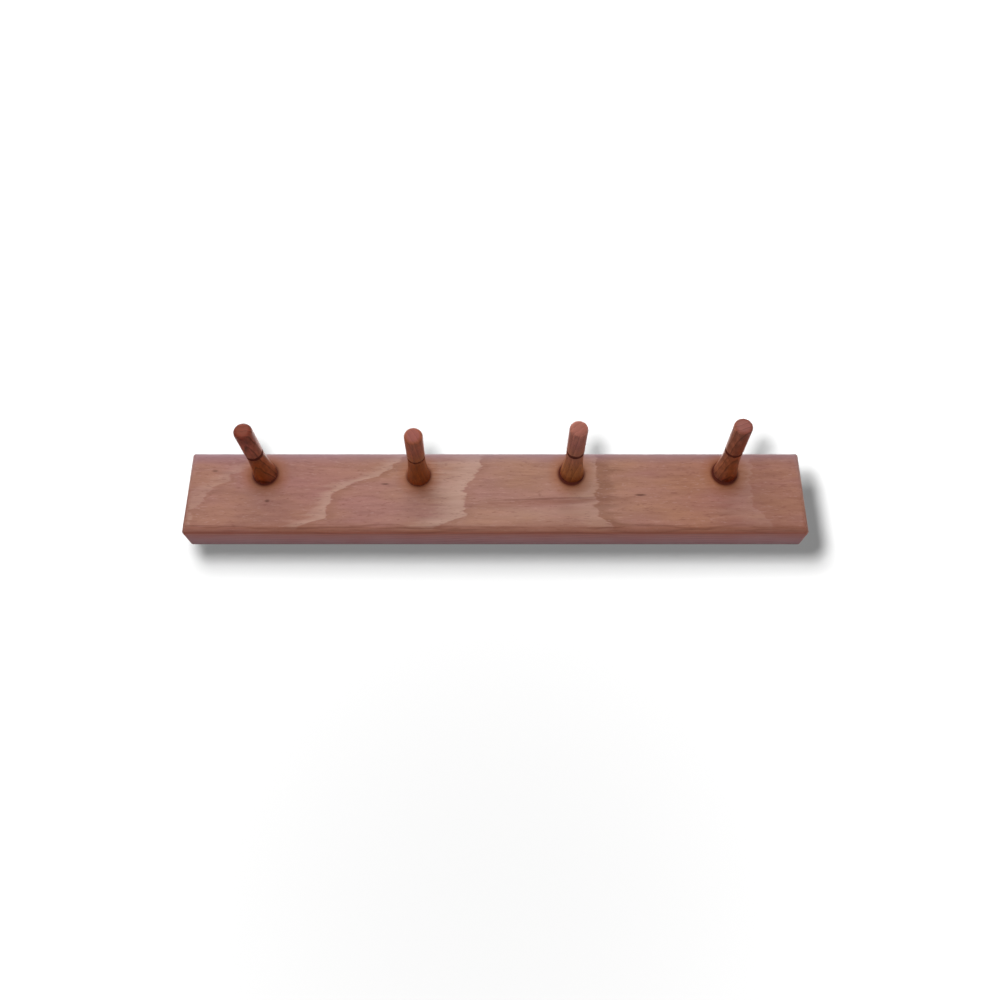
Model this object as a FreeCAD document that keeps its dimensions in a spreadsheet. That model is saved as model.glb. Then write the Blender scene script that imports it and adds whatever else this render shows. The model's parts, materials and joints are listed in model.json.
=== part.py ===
import FreeCAD, Part
import math
import os
import Sketcher

# Wall peg rail: a solid board with four turned pegs glued into its face, hung on two
# flush keyhole hangers let into its back. Each body is drawn as it lies on the bench, on
# its back with its face up, and is then placed as it hangs: X along the board, Z up,
# the wall at Y = 0 and the pegs pointing to -Y. The origin is the centre of the back.

# Driving dimensions, in millimetres, and degrees where the name says lean.
DRIVING_SIZES = [
    # board: one planed length, face edges rounded with a router, back edges eased by hand
    ("rail_length", 400.0),
    ("rail_height", 57.0),
    ("rail_thickness", 22.0),
    ("face_round", 4.5),
    ("back_ease", 0.6),
    # pegs: the outer ones stand this far from the board's ends, the others evenly between
    ("end_margin", 50.0),
    ("peg_reach", 58.0),
    ("foot_radius", 7.7),
    ("cove_radius", 180.0),
    ("neck_radius", 5.55),
    ("ring_place_share", 0.515),
    ("ring_width", 2.0),
    ("ring_depth", 0.9),
    ("grip_radius", 5.7),
    ("rim_chamfer", 1.1),
    # tenon turned on each peg, and the glue joint round it
    ("tenon_radius", 5.0),
    ("tenon_length", 15.0),
    ("glue_gap", 0.1),
    ("socket_end_gap", 0.8),
    # the sockets were drilled by eye: distance below the board's top edge, upward and
    # sideways lean of each peg, counted from the left
    ("peg_1_drop", 15.5),
    ("peg_2_drop", 16.8),
    ("peg_3_drop", 14.6),
    ("peg_4_drop", 14.3),
    ("peg_1_up_lean", 0.4),
    ("peg_2_up_lean", -1.6),
    ("peg_3_up_lean", 1.3),
    ("peg_4_up_lean", 2.2),
    ("peg_1_side_lean", -0.5),
    ("peg_2_side_lean", 1.4),
    ("peg_3_side_lean", 0.2),
    ("peg_4_side_lean", -1.6),
    # keyhole hangers: flat steel with round ends, an entry hole and a slot rising from it,
    # each kept a land away from the screw beyond it
    ("hanger_margin", 100.0),
    ("hanger_width", 16.0),
    ("hanger_height", 40.0),
    ("hanger_thickness", 2.0),
    ("entry_radius", 4.75),
    ("entry_land", 2.35),
    ("slot_width", 4.6),
    ("slot_land", 4.8),
    # recess that takes a hanger, and the room behind it for the wall screw's head
    ("flush_gap", 0.2),
    ("recess_gap", 0.2),
    ("head_room_gap", 1.25),
    ("head_room_depth", 8.0),
    # countersunk screws that hold the hangers
    ("screw_edge", 5.0),
    ("screw_head_radius", 3.3),
    ("screw_radius", 1.6),
    ("screw_length", 12.0),
    ("screw_gap", 0.1),
    ("pilot_end_gap", 0.8),
    ("cross_length", 3.4),
    ("cross_width", 0.8),
    ("cross_depth", 1.1),
    # how far a cut starts outside the wood or steel that it enters
    ("overrun", 3.0),
]

doc = FreeCAD.newDocument("peg_rail")
sheet = doc.addObject("Spreadsheet::Sheet", "sizes")
for line, (alias, size) in enumerate(DRIVING_SIZES, start=1):
    sheet.set("A%d" % line, alias)
    sheet.set("B%d" % line, str(size))
    sheet.setAlias("B%d" % line, alias)
doc.recompute()

# How a sketch constraint names its axes and an edge's points
H_AXIS_INDEX = -1
V_AXIS_INDEX = -2
START_INDEX = 1
END_INDEX = 2
CENTRE_INDEX = 3


def new_body(name, place=None):
    """A body turned from the bench to the wall; place binds its Placement's Base."""
    body = doc.addObject("PartDesign::Body", name)
    body.Label = name
    to_wall = FreeCAD.Rotation(FreeCAD.Vector(1, 0, 0), 90)
    body.Placement = FreeCAD.Placement(FreeCAD.Vector(0, 0, 0), to_wall)
    for axis, size in (place or {}).items():
        body.setExpression("Placement.Base." + axis, size)
    return body


def origin_plane(body, role):
    return [plane for plane in body.Origin.OriginFeatures if plane.Role == role][0]


def new_sketch(body, name, role, offset=None):
    """A sketch on one of the body's planes, shifted or turned by bound sizes."""
    sketch = body.newObject("Sketcher::SketchObject", name)
    sketch.AttachmentSupport = [(origin_plane(body, role), "")]
    sketch.MapMode = "FlatFace"
    for path, size in (offset or {}).items():
        sketch.setExpression("AttachmentOffset." + path, size)
    return sketch


def read(sketch, size):
    """The value of a bound size; an empty text is a place on the axis."""
    return float(sketch.evalExpression(size)) if size else 0


def bind(sketch, kind, name, where, size):
    """One sketch constraint whose value follows the sheet."""
    index = sketch.addConstraint(Sketcher.Constraint(kind, *where, read(sketch, size)))
    sketch.renameConstraint(index, name)
    sketch.setExpression("Constraints." + name, size)


def pin_point(sketch, name, edge, point, across, along):
    """Holds a point at a bound place; an empty text keeps it on that axis."""
    if across:
        bind(sketch, "DistanceX", name + "_across", (edge, point), across)
    else:
        sketch.addConstraint(Sketcher.Constraint("PointOnObject", edge, point, V_AXIS_INDEX))
    if along:
        bind(sketch, "DistanceY", name + "_along", (edge, point), along)
    else:
        sketch.addConstraint(Sketcher.Constraint("PointOnObject", edge, point, H_AXIS_INDEX))


def arc_between(start, end, radius):
    """An arc between two points that bulges to the left of the way from start to end."""
    chord = end - start
    left = FreeCAD.Vector(-chord.y, chord.x, 0).normalize()
    rise = radius - math.sqrt(radius ** 2 - (chord.Length / 2) ** 2)
    return Part.Arc(start, (start + end) / 2 + left * rise, end)


def outline(sketch, corners, arcs=None):
    """A closed outline through bound corners. arcs gives the radius of each edge, by its
    first corner, that is an arc bulging to the left of the way round."""
    arcs = arcs or {}
    points = [FreeCAD.Vector(read(sketch, across), read(sketch, along), 0) for across, along in corners]
    edges = []
    for index, start in enumerate(points):
        end = points[(index + 1) % len(points)]
        if index in arcs:
            edge = sketch.addGeometry(arc_between(start, end, read(sketch, arcs[index])))
        else:
            edge = sketch.addGeometry(Part.LineSegment(start, end))
        # an arc always runs anticlockwise, so its first point may be the later corner
        turned_round = sketch.getPoint(edge, START_INDEX).distanceToPoint(end) \
            < sketch.getPoint(edge, START_INDEX).distanceToPoint(start)
        ends = (END_INDEX, START_INDEX) if turned_round else (START_INDEX, END_INDEX)
        edges.append((edge, ends))
    for index, (across, along) in enumerate(corners):
        before, (_, before_last) = edges[index - 1]
        edge, (first, _) = edges[index]
        sketch.addConstraint(Sketcher.Constraint("Coincident", before, before_last, edge, first))
        pin_point(sketch, "corner_%d" % index, edge, first, across, along)
    for index, radius in arcs.items():
        bind(sketch, "Radius", "arc_%d" % index, (edges[index][0],), radius)


def long_round(sketch, across, low, high, radius):
    """An upright slot outline with round ends, given by the centres of its ends."""
    low_centre = FreeCAD.Vector(read(sketch, across), read(sketch, low), 0)
    high_centre = FreeCAD.Vector(read(sketch, across), read(sketch, high), 0)
    out = FreeCAD.Vector(read(sketch, radius), 0, 0)
    normal = FreeCAD.Vector(0, 0, 1)
    low_circle = Part.Circle(low_centre, normal, out.x)
    high_circle = Part.Circle(high_centre, normal, out.x)
    low_end = sketch.addGeometry(Part.ArcOfCircle(low_circle, math.pi, 2 * math.pi))
    right_side = sketch.addGeometry(Part.LineSegment(low_centre + out, high_centre + out))
    high_end = sketch.addGeometry(Part.ArcOfCircle(high_circle, 0, math.pi))
    left_side = sketch.addGeometry(Part.LineSegment(high_centre - out, low_centre - out))
    way_round = (low_end, right_side, high_end, left_side, low_end)
    for edge, after in zip(way_round, way_round[1:]):
        sketch.addConstraint(Sketcher.Constraint("Tangent", edge, END_INDEX, after, START_INDEX))
    sketch.addConstraint(Sketcher.Constraint("Equal", low_end, high_end))
    pin_point(sketch, "low", low_end, CENTRE_INDEX, across, low)
    pin_point(sketch, "high", high_end, CENTRE_INDEX, across, high)
    bind(sketch, "Radius", "end_radius", (low_end,), radius)


def circle(sketch, across, along, radius):
    centre = FreeCAD.Vector(read(sketch, across), read(sketch, along), 0)
    ring = sketch.addGeometry(Part.Circle(centre, FreeCAD.Vector(0, 0, 1), read(sketch, radius)))
    pin_point(sketch, "centre", ring, CENTRE_INDEX, across, along)
    bind(sketch, "Radius", "radius", (ring,), radius)


def pad(body, name, sketch, length):
    feature = body.newObject("PartDesign::Pad", name)
    feature.Profile = sketch
    feature.setExpression("Length", length)
    return feature


def pocket(body, name, sketch, depth, upward=True):
    """Cuts from the sketch's plane, upward into the body or downward off its foot."""
    feature = body.newObject("PartDesign::Pocket", name)
    feature.Profile = sketch
    feature.Reversed = upward
    feature.setExpression("Length", depth)
    return feature


def turned(body, name, kind, sketch):
    """A full turn about the sketch's upright axis: Revolution adds, Groove cuts."""
    feature = body.newObject("PartDesign::" + kind, name)
    feature.Profile = sketch
    feature.ReferenceAxis = (sketch, ["V_Axis"])
    feature.Angle = 360
    return feature


def edges_at_height(shape, height):
    """Names of the edges that lie wholly at one height."""
    near_share = 1e-9
    near = shape.BoundBox.DiagonalLength * near_share
    return ["Edge%d" % index for index, edge in enumerate(shape.Edges, start=1)
            if all(abs(vertex.Z - height) < near for vertex in edge.Vertexes)]


def mirrored(body, name, features, roles):
    """Repeats features across one or more of the body's planes."""
    steps = []
    for role in roles:
        step = body.newObject("PartDesign::Mirrored", name + "_across_" + role[:2])
        step.MirrorPlane = (origin_plane(body, role), [""])
        steps.append(step)
    if len(steps) == 1:
        steps[0].Originals = features
        body.Tip = steps[0]
    else:
        copies = body.newObject("PartDesign::MultiTransform", name)
        copies.Originals = features
        copies.Transformations = steps
        body.Tip = copies
    doc.recompute()


# Places shared by the pegs and their sockets
PEG_COUNT = 4


def peg_across(number):
    place_share = 2 * (number - 1) / (PEG_COUNT - 1) - 1
    return "(sizes.rail_length / 2 - sizes.end_margin) * %r" % place_share


def peg_row(number):
    return "(sizes.rail_height / 2 - sizes.peg_%d_drop)" % number


def drilled_axis(number, across, along, row):
    """The offset of a sketch whose upright axis is a peg's leaning centre line."""
    return {
        "Base.x": across,
        "Base.y": along,
        "Base.z": row,
        "Rotation.Yaw": "-sizes.peg_%d_side_lean * 1 deg" % number,
        "Rotation.Roll": "-sizes.peg_%d_up_lean * 1 deg" % number,
    }


# Places shared by the hangers, their screws and what is cut for them
HANGER_ACROSS = "(sizes.rail_length / 2 - sizes.hanger_margin)"
ROUND_END_PLACE = "(sizes.hanger_height - sizes.hanger_width) / 2"
SCREW_PLACE = "(sizes.hanger_height / 2 - sizes.screw_edge)"
SINK_RADIUS = "(sizes.screw_head_radius + sizes.screw_gap)"
PILOT_RADIUS = "(sizes.screw_radius + sizes.screw_gap)"
ENTRY_PLACE = "-(%s - %s - sizes.entry_land - sizes.entry_radius)" % (SCREW_PLACE, SINK_RADIUS)
SLOT_END_PLACE = "(%s - %s - sizes.slot_land - sizes.slot_width / 2)" % (SCREW_PLACE, SINK_RADIUS)
RECESS_DEPTH = "sizes.flush_gap + sizes.hanger_thickness"
SCREW_HEAD_DEPTH = "sizes.screw_head_radius - sizes.screw_radius"


# Rail board
board = new_body("rail_board")
blank_sketch = new_sketch(board, "blank_outline", "XY_Plane")
outline(blank_sketch, [
    ("-sizes.rail_length / 2", "-sizes.rail_height / 2"),
    ("sizes.rail_length / 2", "-sizes.rail_height / 2"),
    ("sizes.rail_length / 2", "sizes.rail_height / 2"),
    ("-sizes.rail_length / 2", "sizes.rail_height / 2"),
])
blank = pad(board, "planed_blank", blank_sketch, "sizes.rail_thickness")
doc.recompute()

face_edges = board.newObject("PartDesign::Fillet", "rounded_face_edges")
face_edges.Base = (blank, edges_at_height(blank.Shape, sheet.rail_thickness))
face_edges.setExpression("Radius", "sizes.face_round")
doc.recompute()

back_edges = board.newObject("PartDesign::Chamfer", "eased_back_edges")
back_edges.Base = (face_edges, edges_at_height(face_edges.Shape, 0))
back_edges.setExpression("Size", "sizes.back_ease")
doc.recompute()

for number in range(1, PEG_COUNT + 1):
    socket_sketch = new_sketch(board, "socket_%d_outline" % number, "XZ_Plane", drilled_axis(
        number, peg_across(number), "sizes.rail_thickness", "-" + peg_row(number)))
    outline(socket_sketch, [
        ("", "-(sizes.tenon_length + sizes.socket_end_gap)"),
        ("sizes.tenon_radius + sizes.glue_gap", "-(sizes.tenon_length + sizes.socket_end_gap)"),
        ("sizes.tenon_radius + sizes.glue_gap", "sizes.overrun"),
        ("", "sizes.overrun"),
    ])
    turned(board, "peg_socket_%d" % number, "Groove", socket_sketch)
    doc.recompute()

recess_sketch = new_sketch(board, "recess_outline", "XY_Plane")
long_round(recess_sketch, HANGER_ACROSS, "-" + ROUND_END_PLACE, ROUND_END_PLACE,
           "sizes.hanger_width / 2 + sizes.recess_gap")
recess = pocket(board, "hanger_recess", recess_sketch, RECESS_DEPTH)
doc.recompute()

head_room_sketch = new_sketch(board, "head_room_outline", "XY_Plane")
long_round(head_room_sketch, HANGER_ACROSS, ENTRY_PLACE + " - sizes.head_room_gap", SLOT_END_PLACE,
           "sizes.entry_radius + sizes.head_room_gap")
head_room = pocket(board, "screw_head_room", head_room_sketch, RECESS_DEPTH + " + sizes.head_room_depth")
doc.recompute()
mirrored(board, "second_recess", [recess, head_room], ["YZ_Plane"])

pilot_sketch = new_sketch(board, "pilot_outline", "XZ_Plane", {
    "Base.x": HANGER_ACROSS, "Base.y": "sizes.flush_gap", "Base.z": "-" + SCREW_PLACE})
outline(pilot_sketch, [
    ("", "-sizes.overrun"),
    (PILOT_RADIUS, "-sizes.overrun"),
    (PILOT_RADIUS, "sizes.screw_length + sizes.pilot_end_gap"),
    ("", "sizes.screw_length + sizes.pilot_end_gap"),
])
pilot = turned(board, "pilot_hole", "Groove", pilot_sketch)
doc.recompute()
mirrored(board, "pilot_holes", [pilot], ["YZ_Plane", "XZ_Plane"])


# Turned pegs, each with its tenon; the foot is faced off flat to seat on the board
pegs = []
RING_PLACE = "sizes.peg_reach * sizes.ring_place_share"
for number in range(1, PEG_COUNT + 1):
    peg = new_body("peg_%d" % number, {
        "x": peg_across(number), "y": "-sizes.rail_thickness", "z": peg_row(number)})
    axis = drilled_axis(number, "0", "0", "0")
    shank_sketch = new_sketch(peg, "shank_outline_%d" % number, "XZ_Plane", axis)
    outline(shank_sketch, [
        ("", "-sizes.overrun"),
        ("sizes.foot_radius", "-sizes.overrun"),
        ("sizes.foot_radius", ""),
        ("sizes.neck_radius", RING_PLACE + " - sizes.ring_width / 2"),
        ("sizes.neck_radius - sizes.ring_depth", RING_PLACE),
        ("sizes.grip_radius", RING_PLACE + " + sizes.ring_width / 2"),
        ("sizes.grip_radius", "sizes.peg_reach - sizes.rim_chamfer"),
        ("sizes.grip_radius - sizes.rim_chamfer", "sizes.peg_reach"),
        ("", "sizes.peg_reach"),
    ], {2: "sizes.cove_radius"})
    turned(peg, "turned_shank_%d" % number, "Revolution", shank_sketch)
    doc.recompute()
    facing_sketch = new_sketch(peg, "facing_outline_%d" % number, "XY_Plane")
    circle(facing_sketch, "", "", "sizes.foot_radius + sizes.overrun")
    pocket(peg, "faced_foot_%d" % number, facing_sketch, "2 * sizes.overrun", upward=False)
    doc.recompute()
    tenon_sketch = new_sketch(peg, "tenon_outline_%d" % number, "XZ_Plane", axis)
    outline(tenon_sketch, [
        ("", "-sizes.tenon_length"),
        ("sizes.tenon_radius", "-sizes.tenon_length"),
        ("sizes.tenon_radius", "sizes.overrun"),
        ("", "sizes.overrun"),
    ])
    turned(peg, "tenon_%d" % number, "Revolution", tenon_sketch)
    doc.recompute()
    pegs.append(peg)


# Keyhole hangers: local Z runs from the wall side of the steel into the board
hangers = []
for name, across in (("keyhole_hanger_left", "-" + HANGER_ACROSS), ("keyhole_hanger_right", HANGER_ACROSS)):
    hanger = new_body(name, {"x": across, "y": "-sizes.flush_gap"})
    steel_sketch = new_sketch(hanger, name + "_outline", "XY_Plane")
    long_round(steel_sketch, "", "-" + ROUND_END_PLACE, ROUND_END_PLACE, "sizes.hanger_width / 2")
    pad(hanger, name + "_steel", steel_sketch, "sizes.hanger_thickness")
    entry_sketch = new_sketch(hanger, name + "_entry_outline", "XY_Plane")
    circle(entry_sketch, "", ENTRY_PLACE, "sizes.entry_radius")
    pocket(hanger, name + "_entry", entry_sketch, "sizes.hanger_thickness + sizes.overrun")
    slot_sketch = new_sketch(hanger, name + "_slot_outline", "XY_Plane")
    long_round(slot_sketch, "", ENTRY_PLACE, SLOT_END_PLACE, "sizes.slot_width / 2")
    pocket(hanger, name + "_slot", slot_sketch, "sizes.hanger_thickness + sizes.overrun")
    sink_sketch = new_sketch(hanger, name + "_sink_outline", "XZ_Plane", {"Base.z": "-" + SCREW_PLACE})
    outline(sink_sketch, [
        ("", "-sizes.overrun"),
        (SINK_RADIUS + " + sizes.overrun", "-sizes.overrun"),
        (PILOT_RADIUS, SCREW_HEAD_DEPTH),
        (PILOT_RADIUS, "sizes.hanger_thickness + sizes.overrun"),
        ("", "sizes.hanger_thickness + sizes.overrun"),
    ])
    sink = turned(hanger, name + "_sink", "Groove", sink_sketch)
    doc.recompute()
    mirrored(hanger, name + "_sinks", [sink], ["XZ_Plane"])
    hangers.append(hanger)


# Four countersunk screws with a cross recess, one group
screws = new_body("hanger_screws", {"y": "-sizes.flush_gap"})
screw_sketch = new_sketch(screws, "screw_outline", "XZ_Plane", {
    "Base.x": HANGER_ACROSS, "Base.z": "-" + SCREW_PLACE})
outline(screw_sketch, [
    ("", ""),
    ("sizes.screw_head_radius", ""),
    ("sizes.screw_radius", SCREW_HEAD_DEPTH),
    ("sizes.screw_radius", "sizes.screw_length"),
    ("", "sizes.screw_length"),
])
screw = turned(screws, "screw", "Revolution", screw_sketch)
doc.recompute()
cross_sketch = new_sketch(screws, "cross_outline", "XY_Plane", {
    "Base.x": HANGER_ACROSS, "Base.y": SCREW_PLACE})
LONG = "sizes.cross_length / 2"
SHORT = "sizes.cross_width / 2"
outline(cross_sketch, [
    (LONG, "-" + SHORT), (LONG, SHORT), (SHORT, SHORT), (SHORT, LONG),
    ("-" + SHORT, LONG), ("-" + SHORT, SHORT), ("-" + LONG, SHORT), ("-" + LONG, "-" + SHORT),
    ("-" + SHORT, "-" + SHORT), ("-" + SHORT, "-" + LONG), (SHORT, "-" + LONG), (SHORT, "-" + SHORT),
])
cross = pocket(screws, "cross_recess", cross_sketch, "sizes.cross_depth")
doc.recompute()
mirrored(screws, "four_screws", [screw, cross], ["YZ_Plane", "XZ_Plane"])


# Every feature has to be sound before anything is written
for item in doc.Objects:
    if "Invalid" in item.State or "Error" in item.State:
        raise RuntimeError("%s did not build: %s" % (item.Name, item.State))

os.makedirs("parts", exist_ok=True)
for piece in [board] + pegs + hangers + [screws]:
    if piece.Shape.isNull() or not piece.Shape.isValid():
        raise RuntimeError("%s has no sound shape" % piece.Label)
    piece.Shape.exportStep("parts/%s.step" % piece.Label)
    print("%-22s %d solids %10.1f mm3" % (piece.Label, len(piece.Shape.Solids), piece.Shape.Volume))
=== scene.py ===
import json
import math

import bmesh
import bpy
from mathutils import Matrix, Vector, noise


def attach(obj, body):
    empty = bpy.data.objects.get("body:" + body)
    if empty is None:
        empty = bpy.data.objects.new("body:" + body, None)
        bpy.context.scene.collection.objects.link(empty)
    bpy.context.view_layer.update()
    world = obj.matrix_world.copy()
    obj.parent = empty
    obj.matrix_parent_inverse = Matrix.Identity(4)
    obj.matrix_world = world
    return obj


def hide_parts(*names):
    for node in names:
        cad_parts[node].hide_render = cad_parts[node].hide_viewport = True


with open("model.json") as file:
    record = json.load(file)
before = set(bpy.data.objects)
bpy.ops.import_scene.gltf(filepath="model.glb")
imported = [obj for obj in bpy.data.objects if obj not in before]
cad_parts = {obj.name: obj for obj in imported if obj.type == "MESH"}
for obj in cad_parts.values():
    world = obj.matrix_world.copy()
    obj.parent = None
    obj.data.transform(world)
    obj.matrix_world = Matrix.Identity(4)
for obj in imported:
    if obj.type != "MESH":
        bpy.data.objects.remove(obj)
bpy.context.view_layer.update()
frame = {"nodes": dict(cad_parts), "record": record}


# Rail board
# One length of steamed beech, planed, its face edges rounded with a router and sanded, then
# wiped with a thin oil. It is flat sawn, so the growth rings run nearly level with the face
# and come out there as a few slanting lines, and on the edges as many fine ones.
MM = 0.001
# the board's values are in millimetres, as its material takes them
FACE_Y = -22.0
HALF_LENGTH = 200.0
HALF_HEIGHT = 28.5
# how far a growth line may wander along the board, and how far its pale and dark may reach
LINE_SPAN = 90.0
LINE_REACH_LEFT = 44.0
LINE_REACH_RIGHT = 20.0
# the growth lines of the face, from the left: points up the line as (height, place along the
# board), then width and strength of the pale early wood left of it and of the dark right of it
GROWTH_LINES = [
    ([(-28, -198), (-17, -193), (-8, -190), (0, -184), (5, -178), (11, -170), (15, -164), (24, -150)],
     17, 0.40, 8, 0.25),
    ([(-28, -130), (-22, -119), (-18, -110), (-10, -108), (0, -102), (5, -93), (11, -77), (16, -69),
      (24, -60)], 15, 0.75, 9, 0.45),
    ([(-28, -42), (-24, -35), (-20, -26), (-17, -19), (-3, -19), (12, -13), (24, -8)], 34, 1.0, 8, 0.30),
    ([(-28, 78), (-24, 74), (-20, 70), (-10, 66), (8, 67), (24, 67)], 26, 0.48, 13, 0.75),
    ([(-28, 178), (-18, 173), (-10, 168), (0, 166), (12, 167), (24, 168)], 28, 0.26, 18, 0.24)]
# the wood's own colour at places along the board
BOARD_TONES = [
    (-200, "9C6D62"), (-110, "9F6E61"), (-30, "A37868"), (60, "A67A69"), (130, "9F6C5A"), (200, "9E6D60")]
# single marks: place, then half length, half depth and half height, then strength
MARKS = [
    (93.3, -22, -2.7, 4.2, 3, 0.9, 0.85), (-71.6, -22, 5.1, 3.2, 3, 0.7, 0.7),
    (-146.8, -22, -6.9, 2.0, 3, 1.3, 0.7), (-183.0, -22, 14.5, 2.4, 3, 1.1, 0.5),
    (2.0, -13.5, -28.5, 3.0, 2.4, 2.0, 0.6)]
# the long streak below the third peg: its middle along the board, half length, half depth and
# rise, then its bands, each with its height, half height, colour and strength
STREAK_MIDDLE = 36.0
STREAK_HALF_LENGTH = 46.0
STREAK_HALF_DEPTH = 8.0
STREAK_RISE = math.radians(2.2)
STREAK_BANDS = [(-7.6, 3.0, "85523F", 0.5), (-15.0, 5.0, "B38C79", 0.4), (-5.2, 0.8, "6E3F33", 0.4)]
# the heart of the tree lies behind and below the board, and its rings are this far apart
HEART = (0, 75, -12)
RING_STEP = 2.6
# the two roundings: which way up each looks, the share of its own tone by how far the wood faces that way,
# and the tone. The lower one's brown is partly late wood and partly painted shade where it turns down from
# the light; the upper one's pale, cool tone is a painted reflection of the light above
ROUNDINGS = [
    (-1.0, [(0.0, 0.0), (0.06, 0.1), (0.24, 0.48), (0.5, 0.44), (0.8, 0.25), (1.0, 0.0)], "8C543F"),
    (1.0, [(0.0, 0.0), (0.15, 0.1), (0.6, 0.55), (1.0, 0.7)], "9E8C98")]
# the lower edge, from the face back to the wall: redder wood under a painted purple reflection, darkened
# towards the wall by painted shade
EDGE_TONES = [
    (0.0, "AA5840"), (0.18, "A8584A"), (0.36, "A65A58"), (0.6, "9C5A60"), (0.85, "8A545E"), (1.0, "6C444C")]
# where the middle of each peg's foot lies on the face
PEG_PLACES = [(-150.0, 13.0), (-50.0, 11.7), (50.0, 13.9), (150.0, 14.2)]
# the oil and painted shade at each peg's foot: how far its dark line sags to the side and down, so that it is
# thickest below where the peg shades the board, and how much it is thinned
OIL_AND_SHADE_SAGS = [(0.1, -0.9, 0.2), (0.1, -0.5, 0.7), (-0.7, -1.5, 0.0), (-0.7, -1.5, -0.1)]


def linear(code):
    """A colour written as sRGB hex, in the linear values that a shader takes."""
    parts = [int(code[i:i + 2], 16) / 255 for i in (0, 2, 4)]
    return tuple(c / 12.92 if c <= 0.04045 else ((c + 0.055) / 1.055) ** 2.4 for c in parts) + (1.0,)


def add(owner, kind, links=None, stops=None, curve=None, **settings):
    """Adds a node to a material, lamp or world. links gives its sockets values or other nodes'
    sockets; stops fill a colour ramp and curve fills a float curve, as pairs of place and
    colour or height."""
    made = owner.node_tree.nodes.new(kind)
    for name, setting in settings.items():
        setattr(made, name, setting)
    for socket, source in (links or {}).items():
        if isinstance(source, bpy.types.NodeSocket):
            owner.node_tree.links.new(source, made.inputs[socket])
        else:
            made.inputs[socket].default_value = source
    if stops:
        while len(made.color_ramp.elements) < len(stops):
            made.color_ramp.elements.new(1.0)
        for element, (place, colour) in zip(made.color_ramp.elements, stops):
            element.position = place
            element.color = linear(colour) if isinstance(colour, str) else (colour,) * 3 + (1.0,)
    if curve:
        points = made.mapping.curves[0].points
        while len(points) < len(curve):
            points.new(0.5, 0.5)
        for point, place in zip(points, curve):
            point.location = place
            point.handle_type = "AUTO_CLAMPED"
        made.mapping.update()
    return made


def new_material(name):
    material = bpy.data.materials.new(name)
    material.use_nodes = True
    material.node_tree.nodes.clear()
    return material


def finish_material(material, colour, roughness, height, depth, **constants):
    """The shader itself: colour, roughness and a bump of the given depth in millimetres."""
    bump = add(material, "ShaderNodeBump", {"Height": height, "Distance": depth * MM, "Strength": 1.0})
    shader = add(material, "ShaderNodeBsdfPrincipled", {
        "Base Color": colour, "Roughness": roughness, "Normal": bump.outputs[0]})
    for name, value in constants.items():
        shader.inputs[name.replace("_", " ")].default_value = value
    add(material, "ShaderNodeOutputMaterial", {"Surface": shader.outputs[0]})


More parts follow.
